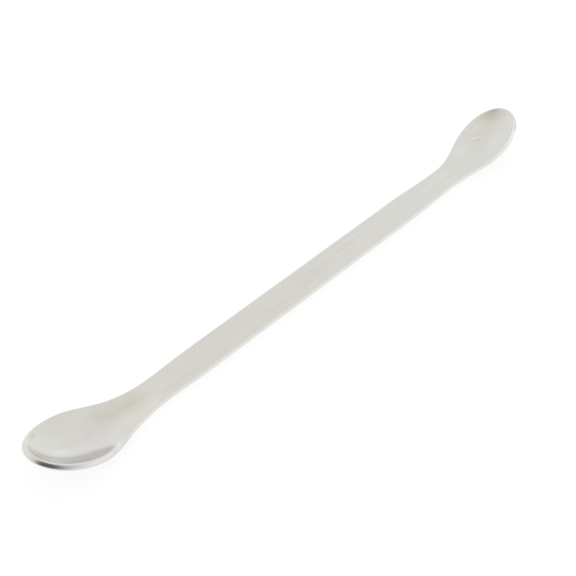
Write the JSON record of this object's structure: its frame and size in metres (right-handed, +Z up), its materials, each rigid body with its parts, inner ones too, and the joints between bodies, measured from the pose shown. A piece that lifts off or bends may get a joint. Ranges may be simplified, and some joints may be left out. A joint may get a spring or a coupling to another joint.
{
  "type": "double-ended lab spoon spatula",
  "caption": "Flat stainless-steel lab spatula with a straight handle, a large oval spoon bowl at one end and a smaller one at the other, both bent upward.",
  "frame": {"origin": "under the middle of the overall length and width, level with the lowest point of the underside", "axes": "+X along the straight handle towards the small bowl, +Y across it, +Z up, the way both bowls open"},
  "size_m": [0.16, 0.0168, 0.0105],
  "materials": {
    "steel": "lengthwise brushed handle, smoother satin bowls, bright stamped edge"
  },
  "bodies": {
    "root": {"spatula": "steel"}
  },
  "joints": []
}
